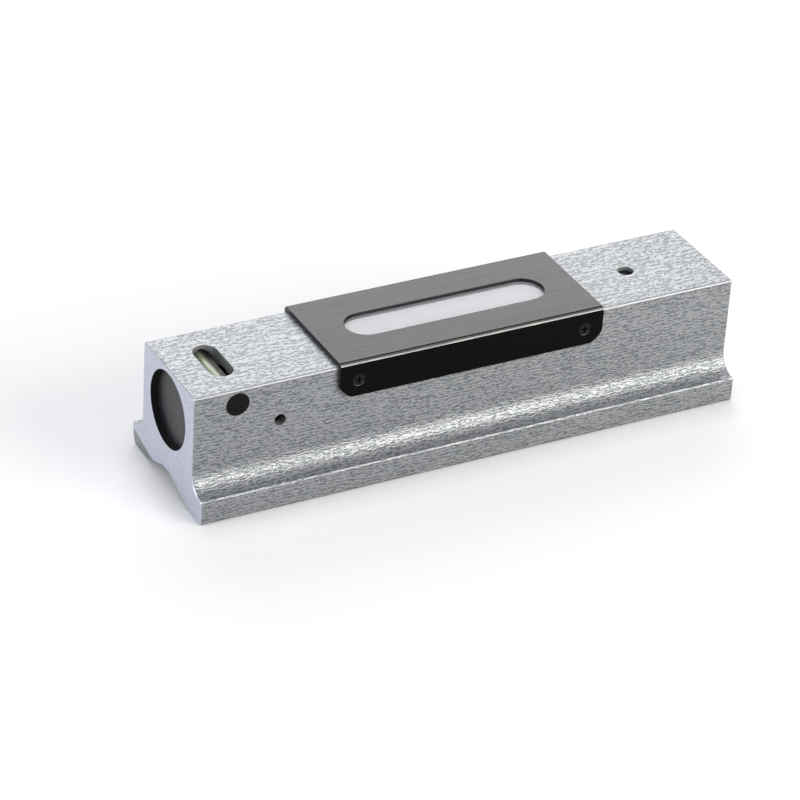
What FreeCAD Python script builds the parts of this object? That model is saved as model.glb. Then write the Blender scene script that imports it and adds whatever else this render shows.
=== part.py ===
"""Precision machinist level: a cast iron bar with a flat and V-grooved base, a long
tubular vial hung inside its bore, a small cross vial, and a folded cover plate.
X runs along the bar, Y across it, Z up. The origin is the middle of the base."""
import FreeCAD, Part
import math
import os
from FreeCAD import Vector

os.makedirs("parts", exist_ok=True)

X_AXIS = Vector(1, 0, 0)
Y_AXIS = Vector(0, 1, 0)
Z_AXIS = Vector(0, 0, 1)

# Casting, outside
body_length = 200.0
base_width = 53.4
body_width = 38.4
body_height = 43.3
flange_height = 8.8
flange_ledge = 0.7
flange_corner = 0.5
top_edge_radius = 0.8
end_chamfer = 0.4

# V-groove in the base
groove_mouth = 35.0
groove_angle = 140.0
groove_depth = 5.4

# Dressed-off lower corner of the rear foot at the left end
facet_outer_height = 6.9
facet_slope = 13.2
facet_depth = 0.9
facet_reach = 19.0

# Long bore and its end plugs
bore_radius = 11.0
bore_below_top = 14.9
plug_radius = 13.5
plug_thickness = 4.0
plug_recess = 2.3
press_gap = 0.05

# Viewing window: opening in the casting, and clear moulding that rises into the cover's window
window_length = 73.4
window_width = 14.2
opening_length = 70.4
opening_width = 12.2
glass_length = 78.0
glass_width = 18.0
glass_thickness = 2.0
glass_below_top = 0.1
glass_below_cover = 1.2
glass_gap = 0.1

# Folded cover plate
cover_length = 97.6
cover_thickness = 1.5
cover_gap = 0.05
cover_drop = 11.3
cover_bend = 1.6
cover_inner_bend = 0.3
cover_corner = 3.6

# Cover screws
cover_screw_spread = 84.0
cover_screw_below_top = 5.3
cover_screw_head = 4.4
cover_screw_shank = 2.5
cover_screw_length = 6.0
cover_screw_sunk = 0.1
cover_hole_gap = 0.05
recess_width = 0.55
recess_span = 2.4
recess_depth = 0.7

# Vial tube with its pivot end and its nut end
tube_outer = 9.25
tube_inner = 7.75
tube_short_of_pivot = 7.5
tube_short_of_screw = 7.5
tube_window_short_of_collar = 2.5
tube_window_width = 12.4
block_spigot = 10.0
pivot_from_end = 30.8
pivot_head_size = 13.0
pivot_head_past = 5.5
adjust_from_end = 30.8
tongue_width = 12.0
tongue_above = 4.5
tongue_below = 6.0
tongue_past_screw = 6.5

# Pivot screws
pivot_screw_radius = 2.05
pivot_screw_recess = 3.0
pivot_cone_clear = 0.4
pivot_cone_angle = 90.0
pivot_seat_gap = 0.1
side_hole_gap = 0.05
slot_width = 0.7
slot_depth = 0.8

# Adjusting screw, its saddle washer and spring
adjust_spigot_radius = 2.7
adjust_hole_gap = 0.1
adjust_recess = 1.4
adjust_collar_radius = 4.0
adjust_collar = 1.2
adjust_collar_below_roof = 1.8
adjust_shank_radius = 1.6
adjust_shank_past_tongue = 2.7
thread_gap = 0.15
washer_radius = 5.5
seat_gap = 0.05
spring_wire = 0.7
spring_radius = 2.45
spring_turns = 5.0
spring_steps = 10
spring_wire_sides = 5
spring_pocket_radius = 3.2
spring_pocket_depth = 5.0

# Main vial
vial_outer = 7.3
vial_inner = 5.9
vial_end_gap = 3.7
vial_cap = 2.5
collar_length = 7.0
collar_inset = 1.5
fluid_gap = 0.05
bubble_length = 28.0
bubble_width = 6.8
bubble_travel = 18.0
bubble_gap = 0.12

# Cross vial, its bore, slot, cradle and plugs
cross_from_end = 15.5
cross_below_top = 5.5
cross_bore_radius = 4.15
cross_slot_length = 20.2
cross_slot_width = 8.5
cradle_gap = 0.05
cradle_wall = 1.5
cross_plug_thickness = 2.5
cross_vial_outer = 2.5
cross_vial_inner = 1.85
cross_vial_length = 24.0
cross_vial_floor = 2.0
cross_cap = 1.8
cross_bubble_length = 5.0
cross_bubble_width = 2.8
cross_bubble_travel = 4.0

half_length = body_length / 2
half_base = base_width / 2
half_body = body_width / 2
bore_height = body_height - bore_below_top
cross_x = -half_length + cross_from_end
cross_height = body_height - cross_below_top
pivot_x = -half_length + pivot_from_end
adjust_x = half_length - adjust_from_end
tube_left = pivot_x + tube_short_of_pivot
tube_right = adjust_x - tube_short_of_screw
vial_reach = min(-tube_left, tube_right) - block_spigot - vial_end_gap
tube_window_reach = vial_reach - collar_inset - collar_length - tube_window_short_of_collar
pivot_cone_base = pivot_head_size / 2 + pivot_cone_clear
adjust_collar_top = bore_height + bore_radius - adjust_collar_below_roof
spring_pocket_floor = bore_height - bore_radius - spring_pocket_depth
cover_screw_height = body_height - cover_screw_below_top
pocket_floor = body_height - glass_below_top - glass_thickness
cover_inner = half_body + cover_gap
cover_outer = cover_inner + cover_thickness
cover_underside = body_height + cover_gap
cover_top = cover_underside + cover_thickness
cradle_outer = cross_bore_radius - cradle_gap
cradle_inner = cradle_outer - cradle_wall
tongue_bottom = bore_height - tongue_below


def cylinder(radius, start, axis, length):
    """A cylinder from start, along axis."""
    return Part.makeCylinder(radius, length, start, axis)


def slab(low, high):
    """A box between two corners."""
    size = high - low
    return Part.makeBox(size.x, size.y, size.z, low)


def obround(length, width, bottom, top, along=X_AXIS, centre=Vector(0, 0, 0)):
    """An upright prism with straight sides and round ends."""
    radius = width / 2
    reach = along * (length / 2 - radius)
    side = along.cross(Z_AXIS) * radius
    lift = Vector(centre.x, centre.y, bottom)
    start = lift - reach
    end = lift + reach
    near_side = Part.makeLine(start + side, end + side)
    round_end = Part.Arc(end + side, end + along * radius, end - side).toShape()
    far_side = Part.makeLine(end - side, start - side)
    round_start = Part.Arc(start - side, start - along * radius, start + side).toShape()
    outline = Part.Wire([near_side, round_end, far_side, round_start])
    return Part.Face(outline).extrude(Z_AXIS * (top - bottom))


def save(shape, node):
    """Write one node, after a check that it is sound."""
    if not shape.isValid():
        raise ValueError(node + " is not a valid solid")
    shape.exportStep("parts/" + node + ".step")
    print(node, len(shape.Solids), "solid,", round(shape.Volume, 1), "mm3")


def section_point(y, z):
    return Vector(-half_length, y, z)


def half_section():
    """The casting's outline on the +Y side, from the groove's roof to the top's middle."""
    groove_slope = math.tan(math.radians(groove_angle / 2))
    groove_roof = groove_mouth / 2 - groove_depth * groove_slope
    cove_radius = half_base - flange_ledge - half_body
    cove_centre = section_point(half_body + cove_radius, flange_height + cove_radius)
    cove_start = cove_centre - Z_AXIS * cove_radius
    cove_middle = cove_centre - (Y_AXIS + Z_AXIS).normalize() * cove_radius
    cove_end = cove_centre - Y_AXIS * cove_radius
    edge_centre = section_point(half_body - top_edge_radius, body_height - top_edge_radius)
    edge_start = edge_centre + Y_AXIS * top_edge_radius
    edge_middle = edge_centre + (Y_AXIS + Z_AXIS).normalize() * top_edge_radius
    edge_end = edge_centre + Z_AXIS * top_edge_radius
    lower = [
        section_point(0, groove_depth),
        section_point(groove_roof, groove_depth),
        section_point(groove_mouth / 2, 0),
        section_point(half_base - flange_corner, 0),
        section_point(half_base, flange_corner),
        section_point(half_base, flange_height - flange_corner),
        section_point(half_base - flange_corner, flange_height),
        cove_start,
    ]
    edges = [Part.makeLine(a, b) for a, b in zip(lower, lower[1:])]
    edges.append(Part.Arc(cove_start, cove_middle, cove_end).toShape())
    edges.append(Part.makeLine(cove_end, edge_start))
    edges.append(Part.Arc(edge_start, edge_middle, edge_end).toShape())
    edges.append(Part.makeLine(edge_end, section_point(0, body_height)))
    return edges


def rear_foot_facet():
    """A thin wedge that dresses off the rear foot's lower corner at the left end."""
    top = Vector(-half_length, half_base, facet_outer_height)
    deep = Vector(-half_length + facet_depth, half_base, 0)
    below = deep + (deep - top) * 0.5
    outside = Vector(-half_length - facet_depth, half_base, below.z)
    outer = Part.Face(Part.makePolygon([top, below, outside, top]))
    wedge = outer.extrude(-Y_AXIS * facet_reach)
    wedge.rotate(top, X_AXIS, facet_slope)
    return wedge


def cover_screw_places():
    """Where the cover's screws enter, and which way they point."""
    for x in (-cover_screw_spread / 2, cover_screw_spread / 2):
        for side in (-1, 1):
            yield Vector(x, side * cover_outer, cover_screw_height), Y_AXIS * -side


def body_casting():
    half = half_section()
    other = [edge.mirror(Vector(0, 0, 0), Y_AXIS) for edge in half]
    outline = Part.Wire(Part.__sortEdges__(half + other))
    casting = Part.Face(outline).extrude(X_AXIS * body_length)
    end_edges = [edge for edge in casting.Edges if edge.BoundBox.XLength < 1e-6]
    casting = casting.makeChamfer(end_chamfer, end_edges)

    axis_start = Vector(-half_length, 0, bore_height)
    cuts = [cylinder(bore_radius, axis_start, X_AXIS, body_length)]
    seat_depth = plug_recess + plug_thickness
    cuts.append(cylinder(plug_radius, axis_start, X_AXIS, seat_depth))
    cuts.append(cylinder(plug_radius, axis_start + X_AXIS * (body_length - seat_depth),
                         X_AXIS, seat_depth))
    cuts.append(obround(opening_length, opening_width, bore_height, body_height))
    cuts.append(obround(glass_length + 2 * glass_gap, glass_width + 2 * glass_gap,
                        pocket_floor, body_height))
    cross_middle = Vector(cross_x, 0, 0)
    cuts.append(obround(cross_slot_length, cross_slot_width, cross_height, body_height,
                        Y_AXIS, cross_middle))
    cuts.append(cylinder(cross_bore_radius, Vector(cross_x, -half_body, cross_height),
                         Y_AXIS, body_width))
    cuts.append(cylinder(pivot_screw_radius + side_hole_gap,
                         Vector(pivot_x, -half_body, bore_height), Y_AXIS, body_width))
    cuts.append(cylinder(adjust_spigot_radius + adjust_hole_gap,
                         Vector(adjust_x, 0, bore_height), Z_AXIS, body_height - bore_height))
    cuts.append(cylinder(spring_pocket_radius, Vector(adjust_x, 0, spring_pocket_floor),
                         Z_AXIS, bore_height - spring_pocket_floor))
    screw_hole = cover_screw_shank / 2 + cover_hole_gap
    for place, inward in cover_screw_places():
        cuts.append(cylinder(screw_hole, place, inward, cover_screw_length + cover_hole_gap))
    cuts.append(rear_foot_facet())
    return casting.cut(cuts)


def end_plug(side):
    """A pressed disc that closes the bore, a little inside the end face."""
    outer = Vector(side * (half_length - plug_recess), 0, bore_height)
    return cylinder(plug_radius - press_gap, outer, X_AXIS * -side, plug_thickness)


def window_glass():
    """A flange in the casting's pocket and a raised middle inside the cover's window."""
    flange = obround(glass_length, glass_width, pocket_floor, pocket_floor + glass_thickness)
    raised = obround(window_length - 2 * glass_gap, window_width - 2 * glass_gap,
                     pocket_floor, cover_top - glass_below_cover)
    return flange.fuse(raised).removeSplitter()


def cover_profile_edges(reach, top, bend, start_x):
    """One skin of the folded sheet, from the front lower edge over the top to the rear one."""
    low = body_height - cover_drop
    front_low = Vector(start_x, -reach, low)
    front_high = Vector(start_x, -reach, top - bend)
    top_front = Vector(start_x, -reach + bend, top)
    top_rear = Vector(start_x, reach - bend, top)
    rear_high = Vector(start_x, reach, top - bend)
    rear_low = Vector(start_x, reach, low)
    lean = bend * (1 - math.sqrt(0.5))
    front_mid = Vector(start_x, -reach + lean, top - lean)
    rear_mid = Vector(start_x, reach - lean, top - lean)
    return [
        Part.makeLine(front_low, front_high),
        Part.Arc(front_high, front_mid, top_front).toShape(),
        Part.makeLine(top_front, top_rear),
        Part.Arc(top_rear, rear_mid, rear_high).toShape(),
        Part.makeLine(rear_high, rear_low),
    ]


def cover_plate():
    start_x = -cover_length / 2
    low = body_height - cover_drop
    outer = cover_profile_edges(cover_outer, cover_top, cover_bend, start_x)
    inner = cover_profile_edges(cover_inner, cover_underside, cover_inner_bend, start_x)
    lips = [Part.makeLine(Vector(start_x, side * cover_inner, low),
                          Vector(start_x, side * cover_outer, low)) for side in (-1, 1)]
    outline = Part.Wire(Part.__sortEdges__(outer + inner + lips))
    sheet = Part.Face(outline).extrude(X_AXIS * cover_length)
    upright = [edge for edge in sheet.Edges
               if abs(edge.Length - cover_thickness) < 1e-6
               and all(abs(v.Z - low) < 1e-6 for v in edge.Vertexes)]
    sheet = sheet.makeChamfer(cover_corner, upright)
    cuts = [obround(window_length, window_width, cover_underside, cover_top)]
    head = cover_screw_head / 2 + cover_hole_gap
    shank = cover_screw_shank / 2 + cover_hole_gap
    for place, inward in cover_screw_places():
        cuts.append(Part.makeCone(head, shank, cover_thickness, place, inward))
    return sheet.cut(cuts)


def cover_screw(place, inward):
    """A countersunk screw with a cross recess, its head just under the plate's face."""
    top = place + inward * cover_screw_sunk
    cone = cover_thickness - cover_screw_sunk
    sunk_share = cover_screw_sunk / cover_thickness
    head_drop = (cover_screw_head - cover_screw_shank) / 2 * sunk_share
    head = Part.makeCone(cover_screw_head / 2 - head_drop, cover_screw_shank / 2, cone,
                         top, inward)
    shank = cylinder(cover_screw_shank / 2, top + inward * cone, inward,
                     cover_screw_length - cone - cover_screw_sunk)
    screw = head.fuse(shank)
    half_span = recess_span / 2
    half_slot = recess_width / 2
    for spread_x, spread_z in ((half_span, half_slot), (half_slot, half_span)):
        deep = top + inward * recess_depth
        near = Vector(top.x - spread_x, min(top.y, deep.y), top.z - spread_z)
        far = Vector(top.x + spread_x, max(top.y, deep.y), top.z + spread_z)
        screw = screw.cut(slab(near, far))
    return screw.removeSplitter()


def vial_tube():
    start = Vector(tube_left, 0, bore_height)
    length = tube_right - tube_left
    tube = cylinder(tube_outer, start, X_AXIS, length).cut(
        cylinder(tube_inner, start, X_AXIS, length))
    window = slab(Vector(-tube_window_reach, -tube_window_width / 2, bore_height),
                  Vector(tube_window_reach, tube_window_width / 2,
                         bore_height + tube_outer))
    return tube.cut(window)


def pivot_cone(gap, side):
    """The cone at a pivot screw's tip, or with a gap the seat that it turns in."""
    slope = math.tan(math.radians(pivot_cone_angle / 2))
    height = pivot_screw_radius / slope
    outward = gap / math.sin(math.radians(pivot_cone_angle / 2))
    base_centre = Vector(pivot_x, side * pivot_cone_base, bore_height)
    if gap:
        base_radius = pivot_screw_radius + outward * slope
        return Part.makeCone(base_radius, 0, height + outward, base_centre, Y_AXIS * -side)
    return Part.makeCone(pivot_screw_radius, 0, height, base_centre, Y_AXIS * -side)


def pivot_block():
    """The tube's fixed end: a spigot in the tube and a square head between the pivot screws."""
    half_head = pivot_head_size / 2
    spigot = cylinder(tube_inner - press_gap, Vector(tube_left, 0, bore_height), X_AXIS,
                      block_spigot)
    head = slab(Vector(pivot_x - pivot_head_past, -half_head, bore_height - half_head),
                Vector(tube_left, half_head, bore_height + half_head))
    seats = [pivot_cone(pivot_seat_gap, -1), pivot_cone(pivot_seat_gap, 1)]
    return spigot.fuse(head).cut(seats).removeSplitter()


def pivot_screw(side):
    """A slotted, cone-pointed screw, sunk in the side of the casting."""
    face = Vector(pivot_x, side * (half_body - pivot_screw_recess), bore_height)
    inward = Y_AXIS * -side
    straight = half_body - pivot_screw_recess - pivot_cone_base
    screw = cylinder(pivot_screw_radius, face, inward, straight).fuse(pivot_cone(0, side))
    inner_y = side * (half_body - pivot_screw_recess - slot_depth)
    near = Vector(pivot_x - pivot_screw_radius, min(face.y, inner_y),
                  bore_height - slot_width / 2)
    far = Vector(pivot_x + pivot_screw_radius, max(face.y, inner_y),
                 bore_height + slot_width / 2)
    return screw.cut(slab(near, far)).removeSplitter()


def nut_block():
    """The tube's adjustable end: a spigot in the tube and a tongue that the screw lifts."""
    spigot = cylinder(tube_inner - press_gap, Vector(tube_right, 0, bore_height), -X_AXIS,
                      block_spigot)
    tongue = slab(Vector(tube_right, -tongue_width / 2, tongue_bottom),
                  Vector(adjust_x + tongue_past_screw, tongue_width / 2,
                         bore_height + tongue_above))
    bore = cylinder(adjust_shank_radius + thread_gap, Vector(adjust_x, 0, tongue_bottom),
                    Z_AXIS, tongue_above + tongue_below)
    return spigot.fuse(tongue).cut(bore).removeSplitter()


def adjusting_screw():
    """A captive screw: slotted spigot in the top hole, collar below it, shank in the nut."""
    collar_bottom = adjust_collar_top - adjust_collar
    spigot_top = body_height - adjust_recess
    shank_end = tongue_bottom - adjust_shank_past_tongue
    shank = cylinder(adjust_shank_radius, Vector(adjust_x, 0, shank_end), Z_AXIS,
                     collar_bottom - shank_end)
    collar = cylinder(adjust_collar_radius, Vector(adjust_x, 0, collar_bottom), Z_AXIS,
                      adjust_collar)
    spigot = cylinder(adjust_spigot_radius, Vector(adjust_x, 0, adjust_collar_top), Z_AXIS,
                      spigot_top - adjust_collar_top)
    slot = slab(Vector(adjust_x - adjust_spigot_radius, -slot_width / 2, spigot_top - slot_depth),
                Vector(adjust_x + adjust_spigot_radius, slot_width / 2, spigot_top))
    return shank.fuse([collar, spigot]).cut(slot).removeSplitter()


def saddle_washer():
    """Flat below for the screw's collar, round above to suit the bore's roof."""
    floor = adjust_collar_top + seat_gap
    blank = cylinder(washer_radius, Vector(adjust_x, 0, floor), Z_AXIS, bore_radius)
    roof = cylinder(bore_radius - seat_gap, Vector(adjust_x - washer_radius, 0, bore_height),
                    X_AXIS, 2 * washer_radius)
    hole = cylinder(adjust_spigot_radius + adjust_hole_gap, Vector(adjust_x, 0, floor),
                    Z_AXIS, bore_radius)
    return blank.common(roof).cut(hole)


def adjusting_spring():
    """A coil spring with flat ground ends, from its pocket up to the tongue."""
    height = tongue_bottom - seat_gap - spring_pocket_floor
    pitch = height / spring_turns
    steps = round((spring_turns + 1) * spring_steps)
    route = []
    for step in range(steps + 1):
        turn = step / spring_steps
        angle = 2 * math.pi * turn
        route.append(Vector(adjust_x + spring_radius * math.cos(angle),
                            spring_radius * math.sin(angle),
                            spring_pocket_floor + pitch * (turn - 0.5)))
    forward = (route[1] - route[0]).normalize()
    across = Z_AXIS.cross(forward).normalize()
    upward = forward.cross(across)
    ring = []
    for side in range(spring_wire_sides + 1):
        angle = 2 * math.pi * side / spring_wire_sides
        offset = across * math.cos(angle) + upward * math.sin(angle)
        ring.append(route[0] + offset * (spring_wire / 2))
    path = Part.makePolygon(route)
    mitred = 1
    coil = path.makePipeShell([Part.makePolygon(ring)], True, False, mitred)
    ground = cylinder(spring_pocket_radius, Vector(adjust_x, 0, spring_pocket_floor), Z_AXIS,
                      height)
    return coil.common(ground)


def vial_collar(side):
    """The ring that beds one end of the glass in the tube."""
    outer_end = vial_reach - collar_inset
    low = min(side * outer_end, side * (outer_end - collar_length))
    start = Vector(low, 0, bore_height)
    ring = cylinder(tube_inner - press_gap, start, X_AXIS, collar_length)
    return ring.cut(cylinder(vial_outer + press_gap, start, X_AXIS, collar_length))


def main_vial():
    start = Vector(-vial_reach, 0, bore_height)
    outer = cylinder(vial_outer, start, X_AXIS, 2 * vial_reach)
    return outer.cut(cylinder(vial_inner, start, X_AXIS, 2 * vial_reach))


def main_vial_cap(side):
    """A glass disc cemented inside one end of the vial."""
    start = Vector(side * vial_reach, 0, bore_height)
    return cylinder(vial_inner - press_gap, start, X_AXIS * -side, vial_cap)


def segment_depth(radius, width):
    """How far below a cylinder's top a flat of this width lies, from its axis."""
    return math.sqrt(radius ** 2 - (width / 2) ** 2)


def main_vial_spirit():
    radius = vial_inner - fluid_gap
    reach = vial_reach - vial_cap - fluid_gap
    spirit = cylinder(radius, Vector(-reach, 0, bore_height), X_AXIS, 2 * reach)
    flat = bore_height + segment_depth(radius, bubble_width) - bubble_gap
    head_space = obround(bubble_length + 2 * (bubble_travel + bubble_gap),
                         bubble_width + 2 * bubble_gap, flat, bore_height + vial_inner)
    return spirit.cut(head_space)


def main_bubble():
    radius = vial_inner - fluid_gap - bubble_gap
    flat = bore_height + segment_depth(vial_inner - fluid_gap, bubble_width)
    blank = obround(bubble_length, bubble_width, flat, bore_height + vial_inner)
    round_top = cylinder(radius, Vector(-bubble_length, 0, bore_height), X_AXIS,
                         2 * bubble_length)
    return blank.common(round_top)


def cross_cradle():
    """A trough of set plaster in the cross bore, from plug to plug, that beds the vial."""
    reach = half_body - cross_plug_thickness
    start = Vector(cross_x, -reach, cross_height)
    sleeve = cylinder(cradle_outer, start, Y_AXIS, 2 * reach)
    above = slab(Vector(cross_x - cradle_outer, -reach, cross_height),
                 Vector(cross_x + cradle_outer, reach, cross_height + cradle_outer))
    return sleeve.cut([cylinder(cradle_inner, start, Y_AXIS, 2 * reach), above])


def cross_plug(side):
    outer = Vector(cross_x, side * half_body, cross_height)
    return cylinder(cross_bore_radius - press_gap, outer, Y_AXIS * -side,
                    cross_plug_thickness)


def cross_vial():
    start = Vector(cross_x, -cross_vial_length / 2, cross_height)
    outer = cylinder(cross_vial_outer, start, Y_AXIS, cross_vial_length)
    return outer.cut(cylinder(cross_vial_inner, start, Y_AXIS,
                              cross_vial_length - cross_vial_floor))


def cross_vial_cap():
    start = Vector(cross_x, -cross_vial_length / 2, cross_height)
    return cylinder(cross_vial_inner - press_gap, start, Y_AXIS, cross_cap)


def cross_vial_spirit():
    radius = cross_vial_inner - fluid_gap
    low = -cross_vial_length / 2 + cross_cap + fluid_gap
    high = cross_vial_length / 2 - cross_vial_floor - fluid_gap
    spirit = cylinder(radius, Vector(cross_x, low, cross_height), Y_AXIS, high - low)
    flat = cross_height + segment_depth(radius, cross_bubble_width) - bubble_gap
    head_space = obround(cross_bubble_length + 2 * (cross_bubble_travel + bubble_gap),
                         cross_bubble_width + 2 * bubble_gap, flat,
                         cross_height + cross_vial_inner, Y_AXIS, Vector(cross_x, 0, 0))
    return spirit.cut(head_space)


def cross_bubble():
    radius = cross_vial_inner - fluid_gap - bubble_gap
    flat = cross_height + segment_depth(cross_vial_inner - fluid_gap, cross_bubble_width)
    blank = obround(cross_bubble_length, cross_bubble_width, flat,
                    cross_height + cross_vial_inner, Y_AXIS, Vector(cross_x, 0, 0))
    round_top = cylinder(radius, Vector(cross_x, -cross_bubble_length, cross_height), Y_AXIS,
                         2 * cross_bubble_length)
    return blank.common(round_top)


save(body_casting(), "body_casting")
save(end_plug(-1), "end_plug_left")
save(end_plug(1), "end_plug_right")
save(window_glass(), "window_glass")
save(cover_plate(), "cover_plate")
for number, (place, inward) in enumerate(cover_screw_places(), 1):
    save(cover_screw(place, inward), "cover_screw_" + str(number))
save(vial_tube(), "vial_tube")
save(pivot_block(), "pivot_block")
save(pivot_screw(-1), "pivot_screw_front")
save(pivot_screw(1), "pivot_screw_rear")
save(nut_block(), "nut_block")
save(adjusting_screw(), "adjusting_screw")
save(saddle_washer(), "saddle_washer")
save(adjusting_spring(), "adjusting_spring")
save(main_vial(), "main_vial")
save(main_vial_cap(-1), "main_vial_cap_left")
save(main_vial_cap(1), "main_vial_cap_right")
save(vial_collar(-1), "vial_collar_left")
save(vial_collar(1), "vial_collar_right")
save(main_vial_spirit(), "main_vial_spirit")
save(main_bubble(), "main_bubble")
save(cross_cradle(), "cross_cradle")
save(cross_plug(-1), "cross_plug_front")
save(cross_plug(1), "cross_plug_rear")
save(cross_vial(), "cross_vial")
save(cross_vial_cap(), "cross_vial_cap")
save(cross_vial_spirit(), "cross_vial_spirit")
save(cross_bubble(), "cross_bubble")
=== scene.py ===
import math

import bmesh
import bpy
from mathutils import Matrix, Vector


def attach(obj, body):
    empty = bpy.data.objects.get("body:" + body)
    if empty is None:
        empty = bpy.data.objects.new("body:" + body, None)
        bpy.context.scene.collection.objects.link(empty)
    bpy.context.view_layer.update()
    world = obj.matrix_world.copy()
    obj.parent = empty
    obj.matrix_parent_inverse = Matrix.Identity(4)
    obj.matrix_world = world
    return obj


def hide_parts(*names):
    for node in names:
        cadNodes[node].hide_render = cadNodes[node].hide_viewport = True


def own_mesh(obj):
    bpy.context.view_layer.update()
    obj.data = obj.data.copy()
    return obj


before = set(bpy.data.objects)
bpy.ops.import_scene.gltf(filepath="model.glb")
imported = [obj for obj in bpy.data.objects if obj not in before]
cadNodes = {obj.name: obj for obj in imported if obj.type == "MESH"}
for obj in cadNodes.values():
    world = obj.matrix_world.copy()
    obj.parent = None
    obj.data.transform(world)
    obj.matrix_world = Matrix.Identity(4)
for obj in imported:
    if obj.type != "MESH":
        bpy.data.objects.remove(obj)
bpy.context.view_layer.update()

print("frame loaded with", len(cadNodes), "nodes")


# Small helpers. Places and shapes are in metres, and the grain of a pattern in millimetres.

noiseLow, noiseHigh = 0.3, 0.7  # nearly all of a noise texture's values lie between these
waveSpacing = 0.314  # metres between the bands of a wave texture at scale 1
weldDistance = 0.000001


def linearColour(hexText):  # sRGB hex to Blender's linear colour
    channels = [int(hexText[start:start + 2], 16) / 255 for start in (1, 3, 5)]
    made = [c / 12.92 if c <= 0.04045 else ((c + 0.055) / 1.055) ** 2.4 for c in channels]
    return (*made, 1.0)


def perMetre(millimetres):  # a pattern's scale from the real size of its grain
    return 1000 / millimetres


def feed(tree, node, inputs):  # an input is a constant, a socket or a node
    for socket, given in inputs.items():
        if isinstance(given, bpy.types.Node):
            given = given.outputs[0]
        if isinstance(given, bpy.types.NodeSocket):
            tree.links.new(given, node.inputs[socket])
        else:
            node.inputs[socket].default_value = given


def addNode(tree, kind, inputs=None, **settings):
    made = tree.nodes.new(kind)
    for name, value in settings.items():
        setattr(made, name, value)
    feed(tree, made, inputs or {})
    return made


def newMaterial(name, inputs):  # one Principled shader and the place on the object it reads
    material = bpy.data.materials.new(name)
    material.use_nodes = True
    tree = material.node_tree
    tree.nodes.clear()
    shader = addNode(tree, "ShaderNodeBsdfPrincipled", inputs)
    addNode(tree, "ShaderNodeOutputMaterial", {"Surface": shader})
    place = addNode(tree, "ShaderNodeTexCoord").outputs["Object"]
    return material, tree, shader, place


def finishNodes(nodeNames, material):  # CAD nodes keep their mesh and get a better finish
    for nodeName in nodeNames:
        for slot in cadNodes[nodeName].material_slots:
            slot.material = material


def weldedCopy(nodeName):  # a CAD node's mesh with its facets joined up
    shape = bmesh.new()
    shape.from_mesh(cadNodes[nodeName].data)
    bmesh.ops.remove_doubles(shape, verts=shape.verts, dist=weldDistance)
    return shape


def makePiece(shape, name, body, materials):
    bmesh.ops.recalc_face_normals(shape, faces=shape.faces)
    mesh = bpy.data.meshes.new(name)
    shape.to_mesh(mesh)
    shape.free()
    for material in materials:
        mesh.materials.append(material)
    piece = bpy.data.objects.new(name, mesh)
    bpy.context.scene.collection.objects.link(piece)
    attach(piece, body)
    return piece


# Camera: solved from the bar's corners in the photograph

cameraSetup = {
    "place": (-0.5304, -0.9152, 0.6612),
    "forward": (0.4175, 0.7411, -0.5258),
    "right": (0.8860, -0.4605, 0.0544),
    "lens": 166.92,
    "sensor": 36,
    "clipStart": 0.01,
}


def placeCamera(setup):
    data = bpy.data.cameras.new("levelCamera")
    data.sensor_width = setup["sensor"]
    data.lens = setup["lens"]
    data.clip_start = setup["clipStart"]
    forward = Vector(setup["forward"]).normalized()
    right = Vector(setup["right"])
    right = (right - forward * right.dot(forward)).normalized()
    up = right.cross(forward)
    turn = Matrix((right, up, -forward)).transposed().to_4x4()
    camera = bpy.data.objects.new("levelCamera", data)
    camera.matrix_world = Matrix.Translation(setup["place"]) @ turn
    bpy.context.scene.collection.objects.link(camera)
    bpy.context.scene.camera = camera


placeCamera(cameraSetup)
print("camera placed")


# Studio: softboxes that each face the bar, an even room and a white floor

studio = {
    "target": (0, 0, 0.03),
    "roomColour": "#bfc1c4",
    "roomStrength": 0.47,
    "floorColour": "#d8d8d8",
    "floorGlow": 0.40,
    # how far from the bar the painted contact shadow reaches
    "paintedShadowReach": 0.012,
    "floorSize": 12.0,
    "floorDrop": 0.0001,
}
softboxes = {
    "rearSoftbox": {"towards": (0.27, 0.81, 0.52), "distance": 1.3, "size": (1.1, 0.8),
                    "radiance": 3.2, "colour": "#ffffff"},
    "frontSoftbox": {"towards": (0.50, -0.75, 0.43), "distance": 1.3, "size": (0.9, 0.7),
                     "radiance": 7.45, "colour": "#fffdf8"},
    "leftSoftbox": {"towards": (-0.97, 0.05, 0.24), "distance": 1.3, "size": (0.8, 0.6),
                    "radiance": 7.0, "colour": "#e8ebfa"},
}


def hangSoftbox(name, setup):
    width, height = setup["size"]
    light = bpy.data.lights.new(name, "AREA")
    light.shape = "RECTANGLE"
    light.size = width
    light.size_y = height
    light.energy = setup["radiance"] * math.pi * width * height
    light.color = linearColour(setup["colour"])[:3]
    lamp = bpy.data.objects.new(name, light)
    direction = Vector(setup["towards"]).normalized()
    lamp.location = Vector(studio["target"]) + direction * setup["distance"]
    lamp.rotation_euler = direction.to_track_quat("Z", "Y").to_euler()
    bpy.context.scene.collection.objects.link(lamp)


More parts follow.
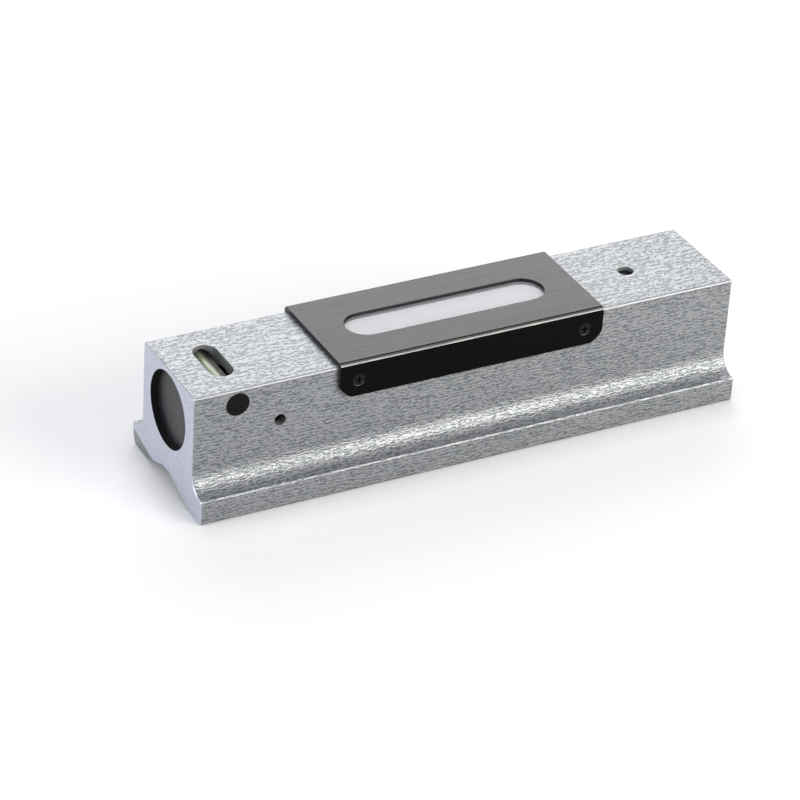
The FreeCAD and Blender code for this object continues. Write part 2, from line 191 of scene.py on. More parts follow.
def buildRoom():  # an even grey room, which is white where it is seen or mirrored
    world = bpy.data.worlds.new("studioRoom")
    bpy.context.scene.world = world
    world.use_nodes = True
    tree = world.node_tree
    tree.nodes.clear()
    room = addNode(tree, "ShaderNodeBackground", {
        "Color": linearColour(studio["roomColour"]), "Strength": studio["roomStrength"]})
    backdrop = addNode(tree, "ShaderNodeBackground", {"Color": (1, 1, 1, 1), "Strength": 1.0})
    path = addNode(tree, "ShaderNodeLightPath").outputs
    seen = addNode(tree, "ShaderNodeMath", {
        0: path["Is Camera Ray"], 1: path["Is Glossy Ray"]}, operation="MAXIMUM")
    seen = addNode(tree, "ShaderNodeMath", {
        0: seen, 1: path["Is Transmission Ray"]}, operation="MAXIMUM")
    mixed = addNode(tree, "ShaderNodeMixShader", {0: seen, 1: room, 2: backdrop})
    addNode(tree, "ShaderNodeOutputWorld", {"Surface": mixed})


def layFloor():
    shape = bmesh.new()
    bmesh.ops.create_grid(shape, x_segments=1, y_segments=1, size=studio["floorSize"] / 2)
    bmesh.ops.translate(shape, verts=shape.verts, vec=(0, 0, -studio["floorDrop"]))
    mesh = bpy.data.meshes.new("studioFloor")
    shape.to_mesh(mesh)
    shape.free()
    floor = bpy.data.objects.new("studioFloor", mesh)
    bpy.context.scene.collection.objects.link(floor)
    # Matt white sheet: where it is seen or mirrored, part of its white is its own, so the
    # shadows on it stay soft. That own white is darkened close to the bar by ambient occlusion,
    # which is a painted contact shadow.
    material, tree, shader, place = newMaterial("mattWhiteSheet", {
        "Base Color": linearColour(studio["floorColour"]), "Roughness": 0.9,
        "Specular IOR Level": 0.0})
    path = addNode(tree, "ShaderNodeLightPath").outputs
    seen = addNode(tree, "ShaderNodeMath", {
        0: path["Is Camera Ray"], 1: path["Is Glossy Ray"]}, operation="MAXIMUM")
    seen = addNode(tree, "ShaderNodeMath", {
        0: seen, 1: path["Is Transmission Ray"]}, operation="MAXIMUM")
    # painted contact shadow: the floor's own glow darkens close to the bar
    paintedContactShadow = addNode(tree, "ShaderNodeAmbientOcclusion", {
        "Distance": studio["paintedShadowReach"]}, samples=8)
    glowAmount = addNode(tree, "ShaderNodeMath", {0: seen, 1: studio["floorGlow"]},
                         operation="MULTIPLY")
    glow = addNode(tree, "ShaderNodeEmission", {"Color": paintedContactShadow, "Strength": glowAmount})
    both = addNode(tree, "ShaderNodeAddShader", {0: shader, 1: glow})
    output = next(node for node in tree.nodes if node.type == "OUTPUT_MATERIAL")
    feed(tree, output, {"Surface": both})
    mesh.materials.append(material)


for boxName, boxSetup in softboxes.items():
    hangSoftbox(boxName, boxSetup)
buildRoom()
layFloor()
bpy.context.scene.view_settings.view_transform = "Standard"
print("studio lit")


# Casting: grey cast iron under a silver enamel with aluminium flake. The coat draws up into
# shallow ripples that run along the bar, 1 to 2 mm apart, and they catch the light in short
# wavy lines; their hollows are also painted darker and their crests lighter, which is partly
# painted shade. The paint pulls smooth over the long edges, which shine in a thin line, partly
# from the light and partly as a painted highlight in the lightest tone. The end faces were
# milled before painting, so the coat lies nearly smooth there, and they wear a lighter, bluer
# copy of the enamel as painted light from the left. The rails, groove and dressed corner are
# bare ground iron, with lines coarser than a grinder's so that they show. Bores, holes and
# slots were machined after painting: their walls are oiled iron, and the plug seats are
# painted black as painted shade.

enamel = {
    # crest and hollow colours of the ripples; the darker hollows are partly painted shade
    "peak": "#9c9ea1",
    "valley": "#6e7174",
    # end faces: a lighter, bluer copy of the enamel, painted light from the left
    "smooth": "#ced1da",
    "fleck": "#b2b6c1",
    "ripple": 1.3,
    "grain": 0.6,
    "grainShare": 1.5,
    "grainRange": (0.25, 0.75),
    "drawn": (0.45, 0.78, 1.45),
    "lean": (-0.785, 0, 0),
    "relief": 0.00013,
    "toneRange": (0.3, 0.6),
    "fleckSize": 0.9,
    "fleckRange": (0.35, 0.7),
    "metallic": 0.5,
    "rough": (0.32, 0.1),
    "smoothed": 0.88,
    # where the long edges begin; there the relief is smoothed and a highlight line is painted
    "edgeFrom": (0.01845, 0.04255),
    "ledgeFrom": (0.0262, 0.0083),
    "ledgeShare": 0.4,
    "endFace": 0.09972,
}
machinedWalls = {
    "oiled": "#85888a",
    # near black on the plug seats, as painted shade
    "seatShade": "#0a0a0b",
    "halfWidth": 0.01915,
    "top": 0.0424,
    "middleHalfWidth": 0.0183,
    "middleTop": 0.04326,
    "bottom": 0.0075,
    "reach": 0.0995,
    "boreCentre": (0, 0, 0.0284),
    "seatRadius": 0.01356,
    "seatFrom": 0.0905,
    "seatEnd": 0.09997,
    "metallic": 0.2,
    "rougher": 0.15,
    "seatRougher": 0.4,
}
ironGround = {
    "colour": "#9a9d9b",
    "dull": "#75797b",
    "grooveHalf": 0.0175,
    "wallSlope": 0.364,
    "grooveRoof": 0.00545,
    "margin": 0.0002,
    "endFace": -0.09996,
    "facesEnd": -0.9,
    "grinding": 0.35,
    "lengthwise": (0.05, 1, 1),
    "metallic": 0.9,
}


def rippleHeight(tree, place):  # long ripples, broken up by a finer grain
    drawn = addNode(tree, "ShaderNodeMapping", {
        "Vector": place, "Rotation": enamel["lean"], "Scale": enamel["drawn"]})
    ripples = addNode(tree, "ShaderNodeTexWave", {
        "Vector": drawn, "Scale": perMetre(enamel["ripple"]) * waveSpacing, "Distortion": 9.0,
        "Detail": 2.0, "Detail Scale": 2.6, "Detail Roughness": 0.6}, bands_direction="Y")
    grain = addNode(tree, "ShaderNodeTexNoise", {
        "Vector": drawn, "Scale": perMetre(enamel["grain"]), "Detail": 1.5,
        "Distortion": 0.3})
    low, high = enamel["grainRange"]
    spread = addNode(tree, "ShaderNodeMapRange", {0: grain, 1: low, 2: high})
    both = addNode(tree, "ShaderNodeMath", {
        0: spread, 1: enamel["grainShare"], 2: ripples.outputs["Fac"]},
        operation="MULTIPLY_ADD")
    return addNode(tree, "ShaderNodeMath", {0: both, 1: 1 + enamel["grainShare"]},
                   operation="DIVIDE")


def allBelow(tree, pairs):  # 1 where each value is under its limit
    found = None
    for value, limit in pairs:
        under = addNode(tree, "ShaderNodeMath", {0: value, 1: limit}, operation="LESS_THAN")
        found = under if found is None else addNode(tree, "ShaderNodeMath", {
            0: found, 1: under}, operation="MULTIPLY")
    return found


# The mask smooths the relief on these edges and also paints a highlight line in the lightest tone.
def longEdges(tree, place):  # 1 on the top's rounded long edges, less on the base's ledges
    axes = addNode(tree, "ShaderNodeSeparateXYZ", {0: place}).outputs
    inward = addNode(tree, "ShaderNodeMath", {0: axes["Y"]}, operation="ABSOLUTE")
    inward = addNode(tree, "ShaderNodeMath", {0: inward, 1: -1.0}, operation="MULTIPLY")
    below = addNode(tree, "ShaderNodeMath", {0: axes["Z"], 1: -1.0}, operation="MULTIPLY")
    found = [allBelow(tree, ((inward, -out), (below, -high)))
             for out, high in (enamel["edgeFrom"], enamel["ledgeFrom"])]
    return addNode(tree, "ShaderNodeMath", {
        0: found[1], 1: enamel["ledgeShare"], 2: found[0]}, operation="MULTIPLY_ADD")


def bareIronShare(tree, place):  # 1 on the ground base, the groove and the dressed corner
    axes = addNode(tree, "ShaderNodeSeparateXYZ", {0: place}).outputs
    across = addNode(tree, "ShaderNodeMath", {0: axes["Y"]}, operation="ABSOLUTE")
    wall = addNode(tree, "ShaderNodeMath", {
        0: across, 1: -ironGround["wallSlope"],
        2: ironGround["wallSlope"] * ironGround["grooveHalf"]}, operation="MULTIPLY_ADD")
    overRails = addNode(tree, "ShaderNodeMath", {0: wall, 1: 0.0}, operation="MAXIMUM")
    underRoof = addNode(tree, "ShaderNodeMath", {0: overRails, 1: ironGround["grooveRoof"]},
                        operation="MINIMUM")
    groundTop = addNode(tree, "ShaderNodeMath", {0: underRoof, 1: ironGround["margin"]},
                        operation="ADD")
    isGround = addNode(tree, "ShaderNodeMath", {0: axes["Z"], 1: groundTop},
                       operation="LESS_THAN")
    normal = addNode(tree, "ShaderNodeTexCoord").outputs["Normal"]
    facing = addNode(tree, "ShaderNodeSeparateXYZ", {0: normal}).outputs
    facesEnd = addNode(tree, "ShaderNodeMath", {0: facing["X"], 1: ironGround["facesEnd"]},
                       operation="LESS_THAN")
    behindEnd = addNode(tree, "ShaderNodeMath", {0: axes["X"], 1: ironGround["endFace"]},
                        operation="GREATER_THAN")
    isDressed = addNode(tree, "ShaderNodeMath", {0: facesEnd, 1: behindEnd},
                        operation="MULTIPLY")
    return addNode(tree, "ShaderNodeMath", {0: isGround, 1: isDressed}, operation="MAXIMUM")


# The plug seats found here are painted near black as painted shade.
def machinedShares(tree, place):  # the inner walls, and the plug seats among them
    axes = addNode(tree, "ShaderNodeSeparateXYZ", {0: place}).outputs
    along = addNode(tree, "ShaderNodeMath", {0: axes["X"]}, operation="ABSOLUTE")
    across = addNode(tree, "ShaderNodeMath", {0: axes["Y"]}, operation="ABSOLUTE")
    inward = addNode(tree, "ShaderNodeMath", {0: along, 1: -1.0}, operation="MULTIPLY")
    below = addNode(tree, "ShaderNodeMath", {0: axes["Z"], 1: -1.0}, operation="MULTIPLY")
    inSides = allBelow(tree, (
        (along, machinedWalls["reach"]), (across, machinedWalls["halfWidth"]),
        (axes["Z"], machinedWalls["top"]), (below, -machinedWalls["bottom"])))
    inTop = allBelow(tree, (
        (along, machinedWalls["reach"]), (across, machinedWalls["middleHalfWidth"]),
        (axes["Z"], machinedWalls["middleTop"]), (below, -machinedWalls["bottom"])))
    walls = addNode(tree, "ShaderNodeMath", {0: inSides, 1: inTop}, operation="MAXIMUM")
    fromBore = addNode(tree, "ShaderNodeVectorMath", {
        0: place, 1: machinedWalls["boreCentre"]}, operation="SUBTRACT")
    crosswise = addNode(tree, "ShaderNodeVectorMath", {0: fromBore, 1: (0, 1, 1)},
                        operation="MULTIPLY")
    radius = addNode(tree, "ShaderNodeVectorMath", {0: crosswise}, operation="LENGTH")
    seats = allBelow(tree, (
        (radius.outputs["Value"], machinedWalls["seatRadius"]),
        (inward, -machinedWalls["seatFrom"]), (along, machinedWalls["seatEnd"])))
    return walls, seats


def paintCasting():
    material, tree, shader, place = newMaterial("silverEnamel", {
        "Specular IOR Level": 0.4})
    surface = rippleHeight(tree, place)
    edgeSmoothingAndHighlight = longEdges(tree, place)
    isBare = bareIronShare(tree, place)
    isWall, shadedSeat = machinedShares(tree, place)
    along = addNode(tree, "ShaderNodeSeparateXYZ", {0: place}).outputs["X"]
    reach = addNode(tree, "ShaderNodeMath", {0: along}, operation="ABSOLUTE")
    atEnd = addNode(tree, "ShaderNodeMath", {0: reach, 1: enamel["endFace"]},
                    operation="GREATER_THAN")
    flecks = addNode(tree, "ShaderNodeTexNoise", {
        "Vector": place, "Scale": perMetre(enamel["fleckSize"]), "Detail": 3.0,
        "Roughness": 0.6})
    # partly painted shade: ripple hollows take the dark valley colour and crests the light peak
    # colour
    low, high = enamel["toneRange"]
    tone = addNode(tree, "ShaderNodeMapRange", {0: surface, 1: low, 2: high})
    # painted highlight: the long edges take the lightest tone, and the ledges a share of it
    tone = addNode(tree, "ShaderNodeMath", {0: tone, 1: edgeSmoothingAndHighlight}, operation="MAXIMUM")
    rippleShadeAndEdgeHighlightPaint = addNode(tree, "ShaderNodeMix", {
        0: tone, 6: linearColour(enamel["valley"]), 7: linearColour(enamel["peak"])},
        data_type="RGBA")
    low, high = enamel["fleckRange"]
    fleckShare = addNode(tree, "ShaderNodeMapRange", {0: flecks, 1: low, 2: high})
    # painted light: the end faces wear a lighter, bluer copy of the paint, as if lit from the left
    endPaintLitFromLeft = addNode(tree, "ShaderNodeMix", {
        0: fleckShare, 6: linearColour(enamel["fleck"]), 7: linearColour(enamel["smooth"])},
        data_type="RGBA")
    coat = addNode(tree, "ShaderNodeMix", {
        0: atEnd, 6: rippleShadeAndEdgeHighlightPaint.outputs[2], 7: endPaintLitFromLeft.outputs[2]}, data_type="RGBA")
    lengthwise = addNode(tree, "ShaderNodeMapping", {
        "Vector": place, "Scale": ironGround["lengthwise"]})
    grinding = addNode(tree, "ShaderNodeTexNoise", {
        "Vector": lengthwise, "Scale": perMetre(ironGround["grinding"]), "Detail": 3.0,
        "Roughness": 0.6})
    groundShare = addNode(tree, "ShaderNodeMapRange", {0: grinding, 1: noiseLow, 2: noiseHigh})
    bareIron = addNode(tree, "ShaderNodeMix", {
        0: groundShare, 6: linearColour(ironGround["dull"]),
        7: linearColour(ironGround["colour"])}, data_type="RGBA")
    outside = addNode(tree, "ShaderNodeMix", {
        0: isBare, 6: coat.outputs[2], 7: bareIron.outputs[2]}, data_type="RGBA")
    withWalls = addNode(tree, "ShaderNodeMix", {
        0: isWall, 6: outside.outputs[2], 7: linearColour(machinedWalls["oiled"])},
        data_type="RGBA")
    # painted shade: the plug seats are coloured near black
    colour = addNode(tree, "ShaderNodeMix", {
        0: shadedSeat, 6: withWalls.outputs[2], 7: linearColour(machinedWalls["seatShade"])},
        data_type="RGBA")
    painted = addNode(tree, "ShaderNodeMapRange", {
        0: isWall, 3: enamel["metallic"], 4: machinedWalls["metallic"]})
    metal = addNode(tree, "ShaderNodeMapRange", {0: isBare, 3: painted, 4: ironGround["metallic"]})
    leastRough, added = enamel["rough"]
    sheen = addNode(tree, "ShaderNodeMath", {0: flecks, 1: added, 2: leastRough},
                    operation="MULTIPLY_ADD")
    rougher = addNode(tree, "ShaderNodeMath", {
        0: isWall, 1: machinedWalls["rougher"], 2: sheen}, operation="MULTIPLY_ADD")
    rough = addNode(tree, "ShaderNodeMath", {
        0: shadedSeat, 1: machinedWalls["seatRougher"], 2: rougher}, operation="MULTIPLY_ADD")
    flat = addNode(tree, "ShaderNodeMath", {0: atEnd, 1: isBare}, operation="MAXIMUM")
    flat = addNode(tree, "ShaderNodeMath", {0: flat, 1: edgeSmoothingAndHighlight}, operation="MAXIMUM")
    flatter = addNode(tree, "ShaderNodeMath", {0: flat, 1: isWall}, operation="MAXIMUM")
    roughened = addNode(tree, "ShaderNodeMath", {0: flatter, 1: -enamel["smoothed"], 2: 1.0},
                        operation="MULTIPLY_ADD")
    height = addNode(tree, "ShaderNodeMath", {0: surface, 1: roughened}, operation="MULTIPLY")
    relief = addNode(tree, "ShaderNodeBump", {"Height": height, "Distance": enamel["relief"]})
    feed(tree, shader, {"Base Color": colour.outputs[2], "Metallic": metal,
                        "Roughness": rough, "Normal": relief})
    finishNodes(["body_casting"], material)


paintCasting()
print("casting painted")


# Cover: aluminium sheet, cut, folded, brushed along its length and black anodised, which
# leaves a fine lengthwise grain on top, drawn coarser than a real brush's so that it shows.
# Its side flanges are polished before the dye and their lower corners are rounded. Each bend
# carries a painted highlight: its facets that face the front light wear a pale, shinier
# material in a line, and the bend facets above them wear the black of the flanges as a
# painted dark line beside it.

cover = {
    "topDark": "#0b0b0d",
    "topLight": "#303035",
    "grain": 0.7,
    "brushed": (0.012, 1, 1),
    "topRough": (0.2, 0.4),
    "relief": 0.00004,
    "flange": "#050505",
    "flangeHaze": "#080807",
    "hazeSize": 1.5,
    # pale colour of the painted highlight line on each bend
    "bend": "#7b7b77",
    "highlightStreaks": 0.5,
    "streakStretch": (0.05, 1, 1),
    "bendRough": (0.3, 0.22),
    "bendFrom": 0.0185,
    "bendTilt": 0.2,
    "paleTilt": (0.35, 0.88),
    "flangeFrom": 0.0199,
    "flatWithin": 0.5,
    "cornerTurn": 35,
    "cornerLength": 0.002,
    "cornerUnder": 0.0405,
    "cornerAcross": 0.99,
    "cornerRound": 0.0014,
    "edgeTurn": 40,
    "edgeRound": 0.00012,
}


def anodiseTop():
    material, tree, shader, place = newMaterial("brushedAnodisedAluminium", {
        "Specular IOR Level": 0.28})
    lengthwise = addNode(tree, "ShaderNodeMapping", {"Vector": place, "Scale": cover["brushed"]})
    grain = addNode(tree, "ShaderNodeTexNoise", {
        "Vector": lengthwise, "Scale": perMetre(cover["grain"]), "Detail": 3.0,
        "Roughness": 0.7})
    share = addNode(tree, "ShaderNodeMapRange", {0: grain, 1: noiseLow, 2: noiseHigh})
    colour = addNode(tree, "ShaderNodeMix", {
        0: share, 6: linearColour(cover["topDark"]), 7: linearColour(cover["topLight"])},
        data_type="RGBA")
    least, most = cover["topRough"]
    rough = addNode(tree, "ShaderNodeMapRange", {
        0: grain, 1: noiseLow, 2: noiseHigh, 3: least, 4: most})
    relief = addNode(tree, "ShaderNodeBump", {"Height": grain, "Distance": cover["relief"]})
    feed(tree, shader, {"Base Color": colour.outputs[2], "Roughness": rough, "Normal": relief})
    return material


def anodiseFlange():
    material, tree, shader, place = newMaterial("polishedAnodisedAluminium", {
        "Specular IOR Level": 0.05, "Roughness": 0.16})
    haze = addNode(tree, "ShaderNodeTexNoise", {
        "Vector": place, "Scale": perMetre(cover["hazeSize"])})
    colour = addNode(tree, "ShaderNodeMix", {
        0: haze, 6: linearColour(cover["flange"]), 7: linearColour(cover["flangeHaze"])},
        data_type="RGBA")
    feed(tree, shader, {"Base Color": colour.outputs[2]})
    return material


# painted highlight: a pale, shinier material for the bend facets that face the front light
def paintBendHighlight():
    material, tree, shader, place = newMaterial("bendHighlightAluminium", {
        "Metallic": 0.6, "Specular IOR Level": 0.4})
    streaks = addNode(tree, "ShaderNodeMapping", {"Vector": place, "Scale": cover["streakStretch"]})
    highlightStreaks = addNode(tree, "ShaderNodeTexNoise", {
        "Vector": streaks, "Scale": perMetre(cover["highlightStreaks"]), "Detail": 2.0})
    colour = addNode(tree, "ShaderNodeMix", {
        0: highlightStreaks, 6: linearColour(cover["topLight"]), 7: linearColour(cover["bend"])},
        data_type="RGBA")
    dull, shiny = cover["bendRough"]
    rough = addNode(tree, "ShaderNodeMapRange", {
        0: highlightStreaks, 1: noiseLow, 2: noiseHigh, 3: dull, 4: shiny})
    feed(tree, shader, {"Base Color": colour.outputs[2], "Roughness": rough})
    return material


def sharpEdges(shape, turn):
    return [edge for edge in shape.edges
            if len(edge.link_faces) == 2 and edge.calc_face_angle() > math.radians(turn)]


def isFlangeCorner(edge):  # a short edge through the sheet, low on a flange
    ends = [vert.co for vert in edge.verts]
    length = edge.calc_length()
    return (length < cover["cornerLength"] and max(end.z for end in ends) < cover["cornerUnder"]
            and abs(ends[0].y - ends[1].y) > cover["cornerAcross"] * length)


def coverFinish(face):  # which of the cover's materials a face wears: top, flange or bend
    out = abs(face.calc_center_median().y)
    upward = face.normal.z
    if out > cover["bendFrom"] and min(abs(face.normal.y), upward) > cover["bendTilt"]:
        # bend facets in the highlight tilt take the painted highlight; the rest take flange black
        # as a painted dark line
        return 2 if cover["paleTilt"][0] < upward < cover["paleTilt"][1] else 1
    return 1 if out > cover["flangeFrom"] else 0


def foldCover():
    shape = weldedCopy("cover_plate")
    bmesh.ops.dissolve_limit(shape, angle_limit=math.radians(cover["flatWithin"]),
                             verts=shape.verts, edges=shape.edges)
    corners = [edge for edge in sharpEdges(shape, cover["cornerTurn"]) if isFlangeCorner(edge)]
    bmesh.ops.bevel(shape, geom=corners, offset=cover["cornerRound"], segments=4, profile=0.5,
                    affect="EDGES", material=-1, clamp_overlap=True)
    bmesh.ops.bevel(shape, geom=sharpEdges(shape, cover["edgeTurn"]), offset=cover["edgeRound"],
                    segments=2, profile=0.5, affect="EDGES", material=-1, clamp_overlap=True)
    for face in shape.faces:
        face.material_index = coverFinish(face)
        face.smooth = True
    piece = makePiece(shape, "cover_sheet", "level_body",
                      [anodiseTop(), anodiseFlange(), paintBendHighlight()])
    evened = piece.modifiers.new("evenShading", "WEIGHTED_NORMAL")
    evened.weight = 100
    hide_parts("cover_plate")


foldCover()
print("cover folded")


# Screws: steel with a black oxide finish, dull black with a faint grey shine

oxide = {
    "dark": "#0d0d0e",
    "light": "#1d1d1f",
    "mottle": 0.5,
    "rough": (0.28, 0.42),
    "nodes": ("cover_screw_1", "cover_screw_2", "cover_screw_3", "cover_screw_4",
              "pivot_screw_front", "pivot_screw_rear", "adjusting_screw"),
}


def blackenScrews():
    material, tree, shader, place = newMaterial("blackOxideSteel", {
        "Metallic": 0.7, "Specular IOR Level": 0.4})
    mottle = addNode(tree, "ShaderNodeTexNoise", {
        "Vector": place, "Scale": perMetre(oxide["mottle"])})
    colour = addNode(tree, "ShaderNodeMix", {
        0: mottle, 6: linearColour(oxide["dark"]), 7: linearColour(oxide["light"])},
        data_type="RGBA")
    least, most = oxide["rough"]
    rough = addNode(tree, "ShaderNodeMapRange", {
        0: mottle, 1: noiseLow, 2: noiseHigh, 3: least, 4: most})
    feed(tree, shader, {"Base Color": colour.outputs[2], "Roughness": rough})
    finishNodes(oxide["nodes"], material)


blackenScrews()
print("screws blackened")


# Clear parts: the window is moulded acrylic, made a little milky and light grey, which partly
# stands in for a painted reflection of the light on its top. The vials are drawn glass tube,
# and the cross vial's is cloudier, being cheap and etched inside. The spirit in them is thin
# and pale green, and a bubble is empty space in it.

clearFinishes = {
    # milky light grey that partly stands in for the light mirrored on the window
    "mouldedAcrylic": {"ior": 1.49, "tint": "#d0d2d7", "clear": "#d8d9de", "smear": 6.0,
                       "haze": 0.5, "rough": 0.0, "nodes": ("window_glass",)},
    "drawnTubeGlass": {"ior": 1.47, "tint": "#f4f8f6", "clear": "#ffffff", "smear": 6.0,
                       "haze": 0.0, "rough": 0.0,
                       "nodes": ("main_vial", "main_vial_cap_left", "main_vial_cap_right")},
    "etchedTubeGlass": {"ior": 1.47, "tint": "#e2ead2", "clear": "#f2f4e6", "smear": 2.0,
                        "haze": 0.3, "rough": 0.14, "nodes": ("cross_vial", "cross_vial_cap")},
    "tintedSpirit": {"ior": 1.36, "tint": "#a9d49a", "clear": "#c4e39a", "smear": 8.0,
                     "haze": 0.1, "rough": 0.0, "nodes": ("main_vial_spirit",)},
    "greenSpirit": {"ior": 1.36, "tint": "#4fb478", "clear": "#fbfbd0", "smear": 3.5,
                    "haze": 0.9, "rough": 0.1, "nodes": ("cross_vial_spirit",)},
    "spiritVapour": {"ior": 1.05, "tint": "#fbfffb", "clear": "#ffffff", "smear": 4.0,
                     "haze": 0.0, "rough": 0.0, "nodes": ("main_bubble", "cross_bubble")},
}


def makeClear(name, setup):
    material, tree, shader, place = newMaterial(name, {
        "Transmission Weight": 1 - setup["haze"], "IOR": setup["ior"],
        "Roughness": setup["rough"]})
    smear = addNode(tree, "ShaderNodeTexNoise", {
        "Vector": place, "Scale": perMetre(setup["smear"]), "Detail": 1.0})
    colour = addNode(tree, "ShaderNodeMix", {
        0: smear, 6: linearColour(setup["tint"]), 7: linearColour(setup["clear"])},
        data_type="RGBA")
    feed(tree, shader, {"Base Color": colour.outputs[2]})
    finishNodes(setup["nodes"], material)


for finishName, finishSetup in clearFinishes.items():
    makeClear(finishName, finishSetup)
print("glass and spirit set")


# Plugs: black moulded polypropylene. The end plugs have a smooth skin with a slight flow
# mottle, and the small plugs over the cross vial's hole were cut off flush, so they are dull.

plugSkin = {"mottle": 3.0, "pits": 0.3, "relief": 0.000006, "rougher": 0.08}
plugs = {
    "mouldedPolypropylene": {"dark": "#0c0c10", "light": "#15151a", "specular": 0.5,
                             "rough": 0.34, "nodes": ("end_plug_left", "end_plug_right")},
    "cutPolypropylene": {"dark": "#0a0a09", "light": "#10100f", "specular": 0.1,
                         "rough": 0.55, "nodes": ("cross_plug_front", "cross_plug_rear")},
}


def mouldPlugs(name, setup):
    material, tree, shader, place = newMaterial(name, {
        "Specular IOR Level": setup["specular"]})
    mottle = addNode(tree, "ShaderNodeTexNoise", {
        "Vector": place, "Scale": perMetre(plugSkin["mottle"])})
    colour = addNode(tree, "ShaderNodeMix", {
        0: mottle, 6: linearColour(setup["dark"]), 7: linearColour(setup["light"])},
        data_type="RGBA")
    rough = addNode(tree, "ShaderNodeMapRange", {
        0: mottle, 1: noiseLow, 2: noiseHigh, 3: setup["rough"],
        4: setup["rough"] + plugSkin["rougher"]})
    skin = addNode(tree, "ShaderNodeTexNoise", {
        "Vector": place, "Scale": perMetre(plugSkin["pits"])})
    relief = addNode(tree, "ShaderNodeBump", {"Height": skin, "Distance": plugSkin["relief"]})
    feed(tree, shader, {"Base Color": colour.outputs[2], "Roughness": rough, "Normal": relief})
    finishNodes(setup["nodes"], material)


for plugName, plugSetup in plugs.items():
    mouldPlugs(plugName, plugSetup)
print("plugs moulded")


# Brass: free-cutting brass bar, turned, so tool rings run round each piece's own axis. The
# rings are coarser than a lathe's, about 1.6 mm apart, so that they can be made out.

brass = {"bright": "#c39a5c", "dull": "#94713c", "ring": 1.57, "tarnish": 1.2,
         "rough": (0.4, 0.25), "relief": 0.000008}
turnedGroups = {
    "turnedPivotBrass": {"axis": "Y", "centre": (-0.0692, 0, 0.0284),
                         "nodes": ("pivot_block",)},
    "turnedScrewBrass": {"axis": "Z", "centre": (0.0692, 0, 0),
                         "nodes": ("saddle_washer", "nut_block")},
}


def turnBrass(name, group):
    material, tree, shader, place = newMaterial(name, {"Metallic": 1.0})
    centred = addNode(tree, "ShaderNodeMapping", {
        "Vector": place, "Location": [-c for c in group["centre"]]})
    rings = addNode(tree, "ShaderNodeTexWave", {
        "Vector": centred, "Scale": perMetre(brass["ring"]) * waveSpacing, "Distortion": 0.4,
        "Detail": 1.0}, wave_type="RINGS", rings_direction=group["axis"])
    tarnish = addNode(tree, "ShaderNodeTexNoise", {
        "Vector": place, "Scale": perMetre(brass["tarnish"]), "Detail": 3.0})
    share = addNode(tree, "ShaderNodeMapRange", {0: tarnish, 1: noiseLow, 2: noiseHigh})
    colour = addNode(tree, "ShaderNodeMix", {
        0: share, 6: linearColour(brass["dull"]), 7: linearColour(brass["bright"])},
        data_type="RGBA")
    dull, bright = brass["rough"]
    rough = addNode(tree, "ShaderNodeMapRange", {0: share, 3: dull, 4: bright})
    relief = addNode(tree, "ShaderNodeBump", {
        "Height": rings.outputs["Fac"], "Distance": brass["relief"]})
    feed(tree, shader, {"Base Color": colour.outputs[2], "Roughness": rough, "Normal": relief})
    finishNodes(group["nodes"], material)


for groupName, groupSetup in turnedGroups.items():
    turnBrass(groupName, groupSetup)
print("brass turned")


# Hidden works: the vial tube is drawn steel, blackened, with fine lines along the pull, made
# coarse enough to show. The spring is bright drawn wire with a fine mottle. The plaster that
# beds the vials is matt and pitted.

drawnSteels = {
    "blackenedSteel": {"dark": "#232325", "light": "#4a4a4c", "line": 0.3,
                       "stretch": (0.03, 1, 1), "nodes": ("vial_tube",)},
    "drawnSpringWire": {"dark": "#8d8e90", "light": "#c2c3c5", "line": 0.25,
                        "stretch": (1, 1, 1), "nodes": ()},
}
drawnRough = (0.42, 0.28)
spring = {"seat": (0.0692, 0, 0.0124), "keep": 0.89, "crease": 40}
plaster = {"dark": "#c9c6bb", "light": "#e6e3d9", "pits": 0.5, "pitRange": (0.35, 0.6),
           "rough": (0.96, 0.85), "relief": 0.00008,
           "nodes": ("vial_collar_left", "vial_collar_right", "cross_cradle")}


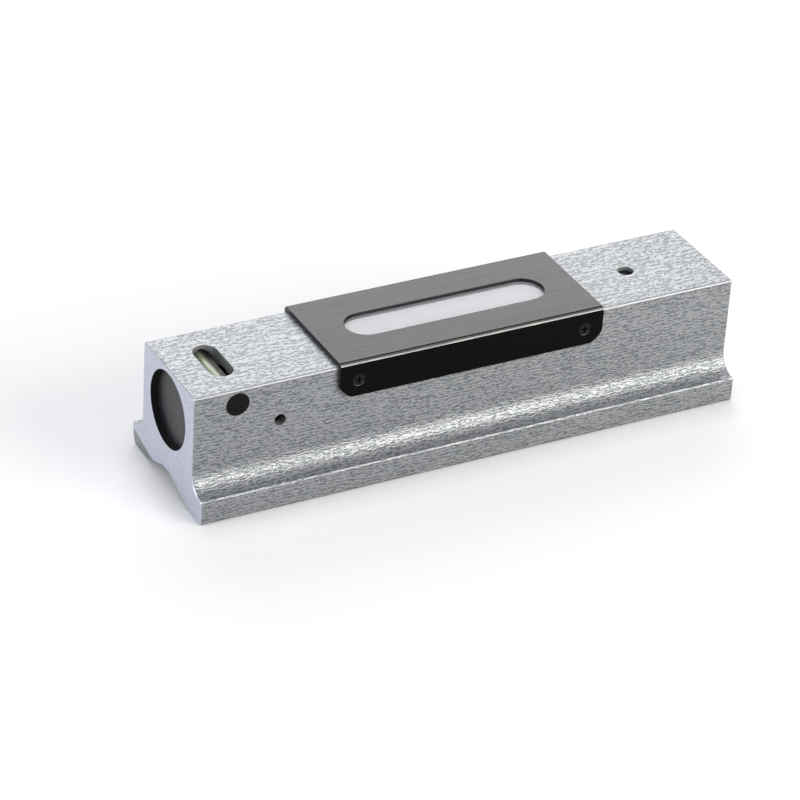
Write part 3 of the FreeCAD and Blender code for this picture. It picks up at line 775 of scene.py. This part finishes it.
def drawSteel(name, setup):
    material, tree, shader, place = newMaterial(name, {"Metallic": 1.0})
    pulled = addNode(tree, "ShaderNodeMapping", {"Vector": place, "Scale": setup["stretch"]})
    lines = addNode(tree, "ShaderNodeTexNoise", {
        "Vector": pulled, "Scale": perMetre(setup["line"]), "Detail": 3.0, "Roughness": 0.6})
    share = addNode(tree, "ShaderNodeMapRange", {0: lines, 1: noiseLow, 2: noiseHigh})
    colour = addNode(tree, "ShaderNodeMix", {
        0: share, 6: linearColour(setup["dark"]), 7: linearColour(setup["light"])},
        data_type="RGBA")
    dull, bright = drawnRough
    rough = addNode(tree, "ShaderNodeMapRange", {0: share, 3: dull, 4: bright})
    feed(tree, shader, {"Base Color": colour.outputs[2], "Roughness": rough})
    finishNodes(setup["nodes"], material)
    return material


def windSpring(material):  # a smoothly shaded copy of the CAD spring on the level body; the real spring gives by 1 mm under the nut block as the vial tube tilts
    shape = weldedCopy("adjusting_spring")
    for face in shape.faces:
        face.smooth = True
    for edge in shape.edges:
        edge.smooth = edge.calc_face_angle(0) < math.radians(spring["crease"])
    piece = makePiece(shape, "adjusting_spring_coil", "level_body", [material])
    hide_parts("adjusting_spring")
    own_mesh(piece)


def pourPlaster():
    material, tree, shader, place = newMaterial("setPlaster", {"Specular IOR Level": 0.2})
    pits = addNode(tree, "ShaderNodeTexNoise", {
        "Vector": place, "Scale": perMetre(plaster["pits"]), "Detail": 4.0, "Roughness": 0.7})
    low, high = plaster["pitRange"]
    share = addNode(tree, "ShaderNodeMapRange", {0: pits, 1: low, 2: high})
    colour = addNode(tree, "ShaderNodeMix", {
        0: share, 6: linearColour(plaster["dark"]), 7: linearColour(plaster["light"])},
        data_type="RGBA")
    pitted, smooth = plaster["rough"]
    rough = addNode(tree, "ShaderNodeMapRange", {0: share, 3: pitted, 4: smooth})
    relief = addNode(tree, "ShaderNodeBump", {"Height": pits, "Distance": plaster["relief"]})
    feed(tree, shader, {"Base Color": colour.outputs[2], "Roughness": rough, "Normal": relief})
    finishNodes(plaster["nodes"], material)


steels = {name: drawSteel(name, setup) for name, setup in drawnSteels.items()}
windSpring(steels["drawnSpringWire"])
pourPlaster()
print("hidden works finished")
